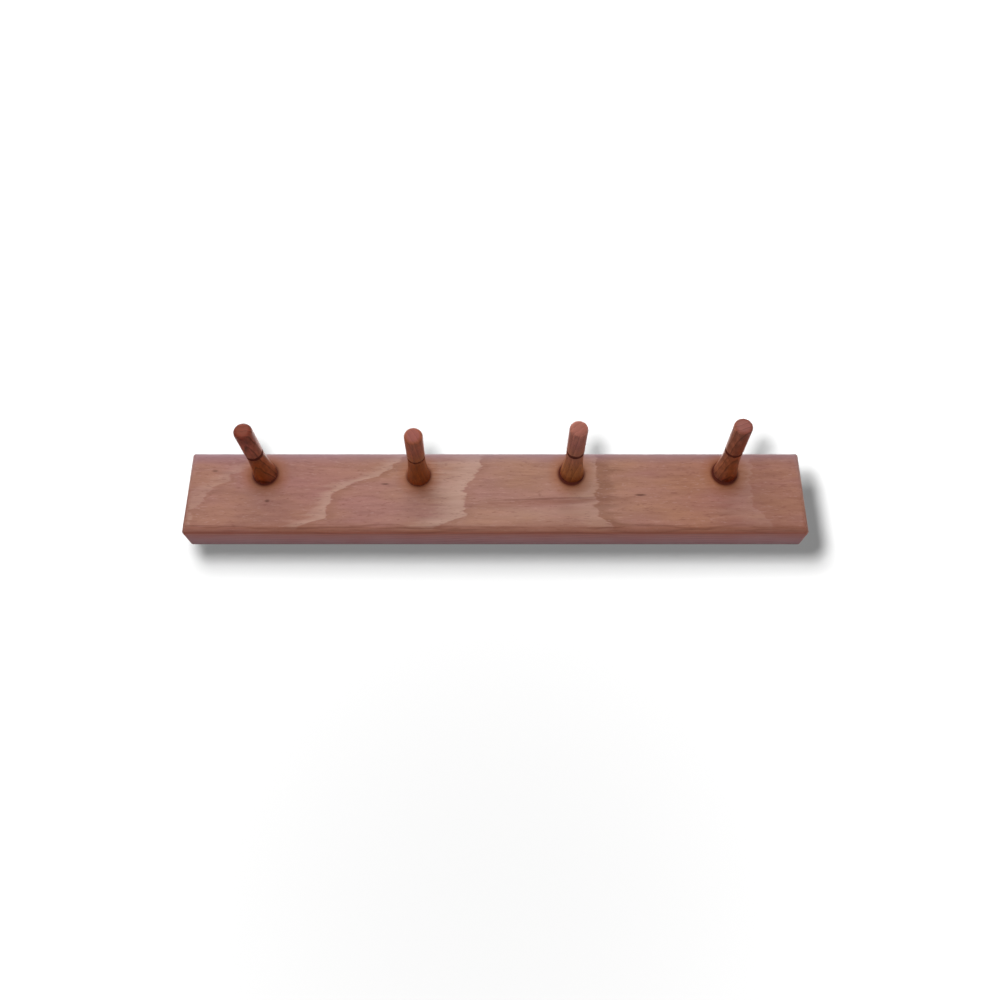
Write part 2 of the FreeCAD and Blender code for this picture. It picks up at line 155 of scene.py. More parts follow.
def oiled_beech_board():
    """Flat-sawn steamed beech: slanting growth lines, ray flecks, a few dark marks, oil round the pegs with
    painted shade below each foot. Steaming makes it pinkish brown, and the thin oil leaves it satin."""
    wood = new_material("oiled_steamed_beech_board")
    place = add(wood, "ShaderNodeTexCoord").outputs["Object"]
    mm = add(wood, "ShaderNodeMapping", {"Vector": place, "Scale": (1 / MM,) * 3}).outputs[0]
    x, y, z = add(wood, "ShaderNodeSeparateXYZ", {0: mm}).outputs
    facing = add(wood, "ShaderNodeSeparateXYZ", {0: add(wood, "ShaderNodeNewGeometry").outputs["Normal"]})
    on_face = add(wood, "ShaderNodeMapRange", {0: facing.outputs[1], 1: -0.80, 2: -0.98, 3: 0.0, 4: 1.0})

    # the kinds of figure that beech has, each as long and as thick in millimetres as given:
    # broad clouds, streaks, the ragged edge of a growth line, and ray flecks along the grain
    # (real flecks are finer, and are drawn this coarse so that they show)
    figure = {}
    for name, length, thickness, detail in (
            ("cloud", 48, 16, 3.0), ("streak", 20, 2.6, 4.0), ("rag", 15, 4.2, 3.0),
            ("fade", 34, 2.4, 2.0), ("fleck", 4.2, 0.9, 2.0), ("late", 44, 1.5, 3.0),
            ("arch", 150, 40, 1.0), ("pore", 0.8, 0.8, 2.0)):
        stretched = add(wood, "ShaderNodeMapping", {
            0: mm, "Scale": (1 / length, 1 / thickness, 1 / thickness)})
        figure[name] = add(wood, "ShaderNodeTexNoise", {
            "Vector": stretched.outputs[0], "Scale": 1.0, "Detail": detail}).outputs["Fac"]

    # the wood is a little paler and greyer in the middle of the board, redder towards its ends
    along = add(wood, "ShaderNodeMapRange", {0: x, 1: -HALF_LENGTH, 2: HALF_LENGTH, 3: 0.0, 4: 1.0})
    ground = add(wood, "ShaderNodeValToRGB", {0: along.outputs[0]}, stops=[
        ((across / HALF_LENGTH + 1) / 2, tone) for across, tone in BOARD_TONES])
    cloud_share = add(wood, "ShaderNodeMapRange", {0: figure["cloud"], 1: 0.36, 2: 0.64, 3: 0.0, 4: 1.0})
    cloud_hue = add(wood, "ShaderNodeValToRGB", {0: cloud_share.outputs[0]}, stops=[
        (0.0, "9C6668"), (0.5, "A2715F"), (1.0, "A87650")])
    colour = add(wood, "ShaderNodeMix", {
        0: 0.26, 6: ground.outputs[0], 7: cloud_hue.outputs[0]}, data_type="RGBA").outputs[2]

    # the back and what is cut into it were never oiled
    backward = add(wood, "ShaderNodeMapRange", {0: facing.outputs[1], 1: 0.3, 2: 0.8, 3: 0.0, 4: 0.85})
    colour = add(wood, "ShaderNodeMix", {
        0: backward.outputs[0], 6: colour, 7: linear("CBA288")}, data_type="RGBA").outputs[2]

    # growth lines: pale early wood fades in from the left and ends at the line, where the dark
    # late wood starts and fades out to the right
    up = add(wood, "ShaderNodeMapRange", {0: z, 1: -HALF_HEIGHT, 2: HALF_HEIGHT, 3: 0.0, 4: 1.0})
    ragged = add(wood, "ShaderNodeMapRange", {0: figure["rag"], 1: 0.25, 2: 0.75, 3: -3.6, 4: 3.6})
    uneven_fade = add(wood, "ShaderNodeMapRange", {0: figure["fade"], 1: 0.3, 2: 0.7, 3: 0.6, 4: 1.5})
    growth = None
    for points, pale_width, pale, dark_width, dark in GROWTH_LINES:
        middle = (points[0][1] + points[-1][1]) / 2
        line = add(wood, "ShaderNodeFloatCurve", {"Value": up.outputs[0]}, curve=[
            ((height / HALF_HEIGHT + 1) / 2, (across - middle) / LINE_SPAN + 0.5)
            for height, across in points])
        line_place = add(wood, "ShaderNodeMath", {
            0: line.outputs[0], 1: LINE_SPAN, 2: middle - LINE_SPAN / 2}, operation="MULTIPLY_ADD")
        beyond = add(wood, "ShaderNodeMath", {0: x, 1: line_place.outputs[0]}, operation="SUBTRACT")
        beyond = add(wood, "ShaderNodeMath", {
            0: beyond.outputs[0], 1: uneven_fade.outputs[0], 2: ragged.outputs[0]}, operation="MULTIPLY_ADD")
        crossing = add(wood, "ShaderNodeMapRange", {
            0: beyond.outputs[0], 1: -LINE_REACH_LEFT, 2: LINE_REACH_RIGHT, 3: 0.0, 4: 1.0})
        step = add(wood, "ShaderNodeFloatCurve", {"Value": crossing.outputs[0]}, curve=[
            ((offset + LINE_REACH_LEFT) / (LINE_REACH_LEFT + LINE_REACH_RIGHT), 0.5 + 0.5 * lift)
            for offset, lift in (
                (-LINE_REACH_LEFT, 0.0), (-pale_width, 0.0), (-0.5 * pale_width, 0.62 * pale), (-1.9, pale),
                (0.9, -dark), (0.6 * dark_width, -0.6 * dark), (dark_width, 0.0), (LINE_REACH_RIGHT, 0.0))])
        growth = step.outputs[0] if growth is None else add(wood, "ShaderNodeMath", {
            0: growth, 1: step.outputs[0]}, operation="ADD").outputs[0]
    # each line's curve stands at a half where it does nothing, so that their sum does too
    neutral = 0.5 * len(GROWTH_LINES)
    for reached, tone, most in ((neutral + 0.5, "BA9686", 0.76), (neutral - 0.5, "855843", 0.8)):
        share = add(wood, "ShaderNodeMapRange", {0: growth, 1: neutral, 2: reached, 3: 0.0, 4: most})
        share = add(wood, "ShaderNodeMath", {
            0: share.outputs[0], 1: on_face.outputs[0]}, operation="MULTIPLY")
        colour = add(wood, "ShaderNodeMix", {
            0: share.outputs[0], 6: colour, 7: linear(tone)}, data_type="RGBA").outputs[2]

    # streaks along the grain, then ray flecks, dark and pale
    streak_tone = add(wood, "ShaderNodeValToRGB", {0: figure["streak"]}, stops=[
        (0.32, 0.34), (0.5, 0.5), (0.68, 0.63)])
    colour = add(wood, "ShaderNodeMix", {
        0: 0.55, 6: colour, 7: streak_tone.outputs[0]}, data_type="RGBA", blend_type="SOFT_LIGHT").outputs[2]
    for least, full, tone, most in ((0.60, 0.72, "7A4A40", 0.45), (0.385, 0.285, "B98F85", 0.38)):
        share = add(wood, "ShaderNodeMapRange", {0: figure["fleck"], 1: least, 2: full, 3: 0.0, 4: most})
        colour = add(wood, "ShaderNodeMix", {
            0: share.outputs[0], 6: colour, 7: linear(tone)}, data_type="RGBA").outputs[2]

    # single dark marks in the wood, each a small spindle with a ragged edge
    for across, forward, height, half_length, half_depth, half_height, strength in MARKS:
        spindle = add(wood, "ShaderNodeMapping", {
            0: mm, "Location": (across, forward, height), "Scale": (half_length, half_depth, half_height)},
            vector_type="TEXTURE")
        reach = add(wood, "ShaderNodeVectorMath", {0: spindle.outputs[0]}, operation="LENGTH")
        reach = add(wood, "ShaderNodeMath", {
            0: figure["fleck"], 1: 0.9, 2: reach.outputs["Value"]}, operation="MULTIPLY_ADD")
        share = add(wood, "ShaderNodeMapRange", {0: reach.outputs[0], 1: 1.55, 2: 0.8, 3: 0.0, 4: strength})
        colour = add(wood, "ShaderNodeMix", {
            0: share.outputs[0], 6: colour, 7: linear("50281E")}, data_type="RGBA").outputs[2]

    # a long mineral streak below the third peg, rising a little to the right, paler under it
    for height, half_height, tone, most in STREAK_BANDS:
        band = add(wood, "ShaderNodeMapping", {
            0: mm, "Location": (STREAK_MIDDLE, FACE_Y, height), "Rotation": (0, -STREAK_RISE, 0),
            "Scale": (STREAK_HALF_LENGTH, STREAK_HALF_DEPTH, half_height)}, vector_type="TEXTURE")
        reach = add(wood, "ShaderNodeVectorMath", {0: band.outputs[0]}, operation="LENGTH")
        reach = add(wood, "ShaderNodeMath", {
            0: figure["streak"], 1: 1.6, 2: reach.outputs["Value"]}, operation="MULTIPLY_ADD")
        share = add(wood, "ShaderNodeMapRange", {0: reach.outputs[0], 1: 1.9, 2: 1.1, 3: 0.0, 4: most})
        colour = add(wood, "ShaderNodeMix", {
            0: share.outputs[0], 6: colour, 7: linear(tone)}, data_type="RGBA").outputs[2]

    # the lower rounding is darker and browner, with a wavy upper limit: partly late wood, partly painted
    # shade where it turns down from the light. The planed lower edge is redder, with a painted purple
    # reflection and painted shade towards the wall, and the upper rounding takes a paler, cooler painted
    # reflection
    wavy = add(wood, "ShaderNodeMapRange", {0: figure["fade"], 1: 0.3, 2: 0.7, 3: -0.16, 4: 0.16})
    for way, stops, tone in ROUNDINGS:
        toward = add(wood, "ShaderNodeMath", {0: facing.outputs[2], 1: way}, operation="MULTIPLY")
        rising = add(wood, "ShaderNodeMath", {
            0: wavy.outputs[0], 1: toward.outputs[0], 2: toward.outputs[0]}, operation="MULTIPLY_ADD")
        share = add(wood, "ShaderNodeValToRGB", {0: rising.outputs[0]}, stops=stops)
        colour = add(wood, "ShaderNodeMix", {
            0: share.outputs[0], 6: colour, 7: linear(tone)}, data_type="RGBA").outputs[2]
    # the face takes on a little of both towards its own upper and lower margin, so a little painted shade
    # below and painted reflection above
    for least, full, most, tone in ((-21.0, -25.0, 0.22, "8C543F"), (19.5, 24.5, 0.30, "927A8C")):
        margin = add(wood, "ShaderNodeMapRange", {0: z, 1: least, 2: full, 3: 0.0, 4: most})
        margin = add(wood, "ShaderNodeMath", {
            0: margin.outputs[0], 1: on_face.outputs[0]}, operation="MULTIPLY")
        colour = add(wood, "ShaderNodeMix", {
            0: margin.outputs[0], 6: colour, 7: linear(tone)}, data_type="RGBA").outputs[2]
    # the lower edge takes these tones: its own redder wood, a painted purple reflection and painted shade
    # towards the wall
    downward = add(wood, "ShaderNodeMapRange", {0: facing.outputs[2], 1: -0.55, 2: -1.0, 3: 0.0, 4: 0.85})
    backwards = add(wood, "ShaderNodeMapRange", {0: y, 1: -21.0, 2: 0.0, 3: 0.0, 4: 1.0})
    edge_tone = add(wood, "ShaderNodeValToRGB", {0: backwards.outputs[0]}, stops=EDGE_TONES)
    colour = add(wood, "ShaderNodeMix", {
        0: downward.outputs[0], 6: colour, 7: edge_tone.outputs[0]}, data_type="RGBA").outputs[2]
    dark_grain = add(wood, "ShaderNodeMapRange", {0: figure["late"], 1: 0.54, 2: 0.64, 3: 0.0, 4: 0.5})
    downhill = add(wood, "ShaderNodeMapRange", {0: z, 1: -22.0, 2: -HALF_HEIGHT, 3: 0.0, 4: 1.0})
    low = add(wood, "ShaderNodeValToRGB", {0: downhill.outputs[0]}, stops=[
        (0.0, 0.0), (0.3, 1.0), (0.8, 0.9), (1.0, 0.25)])
    dark_grain = add(wood, "ShaderNodeMath", {
        0: dark_grain.outputs[0], 1: low.outputs[0]}, operation="MULTIPLY")
    colour = add(wood, "ShaderNodeMix", {
        0: dark_grain.outputs[0], 6: colour, 7: linear("6A3A2C")}, data_type="RGBA").outputs[2]

    # a broken late wood line wanders along the top of the lower rounding
    wander = add(wood, "ShaderNodeMapRange", {0: figure["cloud"], 1: 0.3, 2: 0.7, 3: 22.4, 4: 27.4})
    from_line = add(wood, "ShaderNodeMath", {0: z, 1: wander.outputs[0]}, operation="ADD")
    from_line = add(wood, "ShaderNodeMath", {
        0: figure["late"], 1: 2.0, 2: from_line.outputs[0]}, operation="MULTIPLY_ADD")
    from_line = add(wood, "ShaderNodeMath", {0: from_line.outputs[0], 1: 1.0}, operation="SUBTRACT")
    from_line = add(wood, "ShaderNodeMath", {0: from_line.outputs[0]}, operation="ABSOLUTE")
    share = add(wood, "ShaderNodeMapRange", {0: from_line.outputs[0], 1: 1.1, 2: 0.2, 3: 0.0, 4: 0.5})
    broken = add(wood, "ShaderNodeMapRange", {0: figure["streak"], 1: 0.40, 2: 0.55, 3: 0.15, 4: 1.0})
    share = add(wood, "ShaderNodeMath", {0: share.outputs[0], 1: broken.outputs[0]}, operation="MULTIPLY")
    colour = add(wood, "ShaderNodeMix", {
        0: share.outputs[0], 6: colour, 7: linear("6E3C2E")}, data_type="RGBA").outputs[2]

    # growth rings as the edges and ends show them: arcs round a heart far behind the board
    heart = add(wood, "ShaderNodeMapping", {
        0: mm, "Location": HEART, "Scale": (1e6, 1, 1)}, vector_type="TEXTURE")
    radius = add(wood, "ShaderNodeVectorMath", {0: heart.outputs[0]}, operation="LENGTH")
    ring = radius.outputs["Value"]
    for waver, reach in (("late", 1.4), ("arch", 26.0)):
        ring = add(wood, "ShaderNodeMath", {
            0: figure[waver], 1: reach, 2: ring}, operation="MULTIPLY_ADD").outputs[0]
    ring = add(wood, "ShaderNodeMath", {0: ring, 1: 1 / RING_STEP}, operation="MULTIPLY")
    in_ring = add(wood, "ShaderNodeMath", {0: ring.outputs[0]}, operation="FRACT")
    late_share = add(wood, "ShaderNodeValToRGB", {0: in_ring.outputs[0]}, stops=[
        (0.0, 0.4), (0.12, 0.12), (0.5, 0.0), (0.85, 0.15), (1.0, 0.4)])
    off_face = add(wood, "ShaderNodeMath", {0: 1.0, 1: on_face.outputs[0]}, operation="SUBTRACT")
    late_share = add(wood, "ShaderNodeMath", {
        0: late_share.outputs[0], 1: off_face.outputs[0]}, operation="MULTIPLY")
    colour = add(wood, "ShaderNodeMix", {
        0: late_share.outputs[0], 6: colour, 7: linear("6A3A30")}, data_type="RGBA").outputs[2]
    endward = add(wood, "ShaderNodeMath", {0: facing.outputs[0]}, operation="ABSOLUTE")
    share = add(wood, "ShaderNodeMapRange", {0: endward.outputs[0], 1: 0.88, 2: 1.0, 3: 0.0, 4: 0.6})
    end_tone = add(wood, "ShaderNodeValToRGB", {0: figure["pore"]}, stops=[
        (0.3, "6A3E2E"), (0.55, "84523E"), (0.75, "9A6A52")])
    colour = add(wood, "ShaderNodeMix", {
        0: share.outputs[0], 6: colour, 7: end_tone.outputs[0]}, data_type="RGBA").outputs[2]

    # oil gathered round the foot of each peg, with painted shade: a dark line, thickest below where the peg
    # shades the board, then a warm halo
    flat_place = add(wood, "ShaderNodeCombineXYZ", {0: x, 2: z})
    nearest = None
    for (across, row), (aside, sag, thinned) in zip(PEG_PLACES, OIL_AND_SHADE_SAGS):
        away = add(wood, "ShaderNodeVectorMath", {
            0: flat_place.outputs[0], 1: (across + aside, 0.0, row + sag)}, operation="DISTANCE")
        away = add(wood, "ShaderNodeMath", {0: away.outputs["Value"], 1: thinned}, operation="ADD").outputs[0]
        nearest = away if nearest is None else add(wood, "ShaderNodeMath", {
            0: nearest, 1: away}, operation="MINIMUM").outputs[0]
    spread = add(wood, "ShaderNodeMapRange", {0: figure["cloud"], 1: 0.3, 2: 0.7, 3: -1.6, 4: 1.6})
    wavering = add(wood, "ShaderNodeMath", {0: nearest, 1: spread.outputs[0]}, operation="ADD")
    for place_of, none, full, most, tone in (
            (wavering.outputs[0], 17.0, 8.5, 0.66, "97582E"), (wavering.outputs[0], 11.5, 8.0, 0.5, "743A16"),
            (nearest, 9.9, 8.2, 0.7, "5A2006"), (nearest, 8.8, 7.9, 0.9, "440E02")):
        share = add(wood, "ShaderNodeMapRange", {0: place_of, 1: none, 2: full, 3: 0.0, 4: most})
        share = add(wood, "ShaderNodeMath", {
            0: share.outputs[0], 1: on_face.outputs[0]}, operation="MULTIPLY")
        colour = add(wood, "ShaderNodeMix", {
            0: share.outputs[0], 6: colour, 7: linear(tone)}, data_type="RGBA").outputs[2]
    oil_and_shade_line = share.outputs[0]

    sheen = add(wood, "ShaderNodeMapRange", {0: figure["streak"], 1: 0.3, 2: 0.7, 3: 0.42, 4: 0.56})
    dulled = add(wood, "ShaderNodeMath", {0: oil_and_shade_line, 1: 0.3, 2: sheen.outputs[0]}, operation="MULTIPLY_ADD")
    relief = add(wood, "ShaderNodeMath", {0: figure["fleck"], 1: figure["rag"]}, operation="ADD")
    finish_material(wood, colour, dulled.outputs[0], relief.outputs[0], 0.04, Specular_IOR_Level=0.2)
    return wood


def new_piece(name, mesh_maker, material, body="root"):
    """An object at the origin from a bmesh, dressed and riding on its body."""
    mesh = bpy.data.meshes.new(name)
    mesh_maker.to_mesh(mesh)
    mesh_maker.free()
    if mesh.has_custom_normals:
        mesh.attributes.remove(mesh.attributes["custom_normal"])
    mesh.materials.append(material)
    piece = bpy.data.objects.new(name, mesh)
    bpy.context.scene.collection.objects.link(piece)
    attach(piece, body)
    return piece


# edges bent by more than this are sharp, and a face this square to an axis is a flat
CREASE_ANGLE = math.radians(35)
FLAT_SHARE = 0.9999
# how near vertices are one, and how near a cut a vertex counts as on it
WELD_DISTANCE = 0.002 * MM
CUT_DISTANCE = 0.0005 * MM
# the four corners of the ends, eased by hand: each cut's turn from X to Z and lean to the front
# in degrees, then in millimetres its centre's distance in from the corner, the centre's place
# in depth, and the reach of the cut from there
CORNER_CUTS = [(angle, 0.0, 2.2, 0.0, 2.2) for angle in (18.0, 36.0, 54.0, 72.0)] + [
    (45.0, 22.5, 4.5, -17.5, 5.33), (45.0, 45.0, 4.5, -17.5, 5.02), (45.0, 67.5, 4.5, -17.5, 4.66)]


def merged_copy(node):
    """The node's own shape as a bmesh, its vertices merged."""
    shape = bmesh.new()
    shape.from_mesh(frame["nodes"][node].data)
    bmesh.ops.remove_doubles(shape, verts=shape.verts, dist=WELD_DISTANCE)
    return shape


def shade_rounds(shape):
    """Smooth shading on everything but the flats that lie along an axis."""
    for face in shape.faces:
        face.smooth = max(abs(side) for side in face.normal) < FLAT_SHARE
    for edge in shape.edges:
        edge.smooth = edge.calc_face_angle(0) < CREASE_ANGLE


def eased_board():
    """The board with its end corners eased by a few flat strokes of sandpaper."""
    shape = merged_copy("rail_board")
    for end in (-1, 1):
        for level in (-1, 1):
            for turn_angle, lean, inset, depth, reach in CORNER_CUTS:
                turned, leant = math.radians(turn_angle), math.radians(lean)
                way = Vector((end * math.cos(turned) * math.cos(leant), -math.sin(leant),
                              level * math.sin(turned) * math.cos(leant)))
                middle = Vector((end * (HALF_LENGTH - inset), depth, level * (HALF_HEIGHT - inset)))
                bmesh.ops.bisect_plane(
                    shape, geom=shape.verts[:] + shape.edges[:] + shape.faces[:], dist=CUT_DISTANCE,
                    plane_co=(middle + way * reach) * MM, plane_no=way, clear_outer=True)
                cut_edges = [edge for edge in shape.edges if edge.is_boundary]
                bmesh.ops.contextual_create(shape, geom=cut_edges)
    bmesh.ops.recalc_face_normals(shape, faces=shape.faces)
    shade_rounds(shape)
    return shape


board = new_piece("oiled_board", eased_board(), oiled_beech_board())
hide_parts("rail_board")


# Turned pegs
# Four beech pegs, each turned by hand between centres, burnished and oiled darker than the
# board: a long cove from the foot, a scribed and burnt ring, then a straight grip. The foot
# is faced flat on the board and a tenon runs back into it. No two are quite alike.
FOOT_RADIUS = 7.7 * MM
NECK_RADIUS = 5.55 * MM
GRIP_RADIUS = 5.7 * MM
COVE_RADIUS = 180 * MM
PEG_REACH = 58 * MM
RING_PLACE = 0.515 * PEG_REACH
RING_WIDTH_ALONG = 2 * MM
RING_DEPTH = 0.9 * MM
RING_SOFTENING = 0.3 * MM
COVE_TOP = RING_PLACE - RING_WIDTH_ALONG / 2
TENON_RADIUS = 5 * MM
TENON_LENGTH = 15 * MM
# how far the shank is first turned behind the board's face, and the tenon in front of it
SHANK_OVERRUN = 3 * MM
TENON_OVERRUN = 1 * MM
TURNED_SIDES = 96
COVE_STEPS = 20
RIM_ROUNDS = [2.8 * MM, 2.4 * MM, 2.8 * MM, 1.8 * MM]
# how near turned vertices are one, and how near an edge's ends lie to a stated height
TURNED_WELD = 0.001 * MM
NEAR = 0.01 * MM
# share of the radius by which a shank is out of round, and how many swells a metre would hold
# across and along the peg
OUT_OF_ROUND = 0.012
SWELL_ACROSS = 90
SWELL_ALONG = 60
# in the material's millimetres: the distance between growth rings, the heights at which the
# tones are given, where the tip's end grain starts and is full, and how far from its middle
# line a peg's paler and darker sides are full
RING_GAP = 3.2
TONE_HEIGHTS = [0, 6, 14, 26, 33, 46, 57]
TIP_STARTS = 56.9
TIP_FULL = 57.7
SIDE_REACH = 6.0
# each peg: its tones from foot to tip, darkest at the foot, and on the tip's end grain, how much paler its
# right side is (or its left, below zero) as a painted highlight, with painted shade on the other side, the
# tilt, turn, phase and depth of its growth rings, how mottled it is, and how broken its burnt ring
PEG_LOOKS = [
    (["661D04", "873C14", "8C4214", "863C16", "98523E", "964A3A", "702818", "823E2A"],
     0.22, -6.5, -1.57, 0.38, 0.30, 0.13, 1.2),
    (["823A18", "87431E", "8F471D", "904820", "9F5936", "A35844", "A0583E", "93514A"],
     -0.05, 4, 0.6, 0.0, 0.10, 0.06, 2.3),
    (["803C12", "A26338", "A5663E", "AA6A52", "AC6C56", "B26E62", "B47060", "985A4C"],
     -0.12, 3, 2.2, 0.0, 0.10, 0.05, 1.0),
    (["6A1800", "8A4422", "964C26", "944A28", "883E24", "92462E", "844030", "935C54"],
     -0.42, -5, -1.3, 0.5, 0.24, 0.15, 1.7)]


def turn(lathe, outline):
    """Spins an outline of (radius, height) round Z into a closed shape."""
    start = [lathe.verts.new((radius, 0, height)) for radius, height in outline]
    edges = [lathe.edges.new(pair) for pair in zip(start, start[1:])]
    bmesh.ops.spin(lathe, geom=start + edges, axis=(0, 0, 1), cent=(0, 0, 0), angle=2 * math.pi,
                   steps=TURNED_SIDES, use_merge=True, use_duplicate=False)
    bmesh.ops.remove_doubles(lathe, verts=lathe.verts, dist=TURNED_WELD)
    bmesh.ops.recalc_face_normals(lathe, faces=lathe.faces)


def cove_radius_at(height):
    """The hollow between foot and ring: an arc through both that bulges towards the axis."""
    chord = Vector((NECK_RADIUS - FOOT_RADIUS, COVE_TOP))
    middle = Vector(((NECK_RADIUS + FOOT_RADIUS) / 2, COVE_TOP / 2))
    outward = Vector((chord.y, -chord.x)).normalized()
    centre = middle + outward * math.sqrt(COVE_RADIUS ** 2 - (chord.length / 2) ** 2)
    return centre.x - math.sqrt(COVE_RADIUS ** 2 - (height - centre.y) ** 2)


def turned_peg(number, foot, axis, rim):
    """One peg in its place, faced off where it meets the board."""
    lathe = bmesh.new()
    shank = [(0, -SHANK_OVERRUN), (FOOT_RADIUS, -SHANK_OVERRUN), (FOOT_RADIUS, 0)]
    shank += [(cove_radius_at(COVE_TOP * step / COVE_STEPS), COVE_TOP * step / COVE_STEPS)
              for step in range(1, COVE_STEPS + 1)]
    shank += [(NECK_RADIUS - RING_DEPTH, RING_PLACE), (GRIP_RADIUS, RING_PLACE + RING_WIDTH_ALONG / 2),
              (GRIP_RADIUS, PEG_REACH), (0, PEG_REACH)]
    turn(lathe, shank)
    rim_edges = [edge for edge in lathe.edges if all(
        abs(v.co.z - PEG_REACH) < NEAR and v.co.xy.length > GRIP_RADIUS / 2 for v in edge.verts)]
    bmesh.ops.bevel(
        lathe, geom=rim_edges, offset=rim, affect="EDGES", segments=6, profile=0.5, material=-1)
    ring_edges = [edge for edge in lathe.edges if edge.calc_length() < RING_WIDTH_ALONG / 2 and all(
        abs(abs(v.co.z - RING_PLACE) - RING_WIDTH_ALONG / 2) < NEAR for v in edge.verts)]
    bmesh.ops.bevel(
        lathe, geom=ring_edges, offset=RING_SOFTENING, affect="EDGES", segments=3, profile=0.5, material=-1)

    # the hand of the turner: the shank is out of round by less than a tenth of a millimetre,
    # each one differently
    for vertex in lathe.verts:
        x, y, z = vertex.co
        swell = noise.noise(Vector((x * SWELL_ACROSS, y * SWELL_ACROSS, z * SWELL_ALONG + number * 7)))
        vertex.co.xy *= 1 + OUT_OF_ROUND * swell

    to_place = Matrix.Translation(foot) @ axis.to_track_quat("Z", "Y").to_matrix().to_4x4()
    bmesh.ops.transform(lathe, matrix=to_place, verts=lathe.verts)
    bmesh.ops.bisect_plane(lathe, geom=lathe.verts[:] + lathe.edges[:] + lathe.faces[:], dist=TURNED_WELD,
                           plane_co=foot, plane_no=(0, 1, 0), clear_outer=True)
    open_edges = [edge for edge in lathe.edges if edge.is_boundary]
    bmesh.ops.contextual_create(lathe, geom=open_edges)

    tenon = bmesh.new()
    turn(tenon, [(0, -TENON_LENGTH), (TENON_RADIUS, -TENON_LENGTH), (TENON_RADIUS, TENON_OVERRUN),
                 (0, TENON_OVERRUN)])
    bmesh.ops.transform(tenon, matrix=to_place, verts=tenon.verts)
    tenon_mesh = bpy.data.meshes.new("tenon")
    tenon.to_mesh(tenon_mesh)
    tenon.free()
    lathe.from_mesh(tenon_mesh)
    bpy.data.meshes.remove(tenon_mesh)
    bmesh.ops.recalc_face_normals(lathe, faces=lathe.faces)
    for face in lathe.faces:
        face.smooth = True
    for edge in lathe.edges:
        edge.smooth = edge.calc_face_angle(0) < CREASE_ANGLE
    return lathe


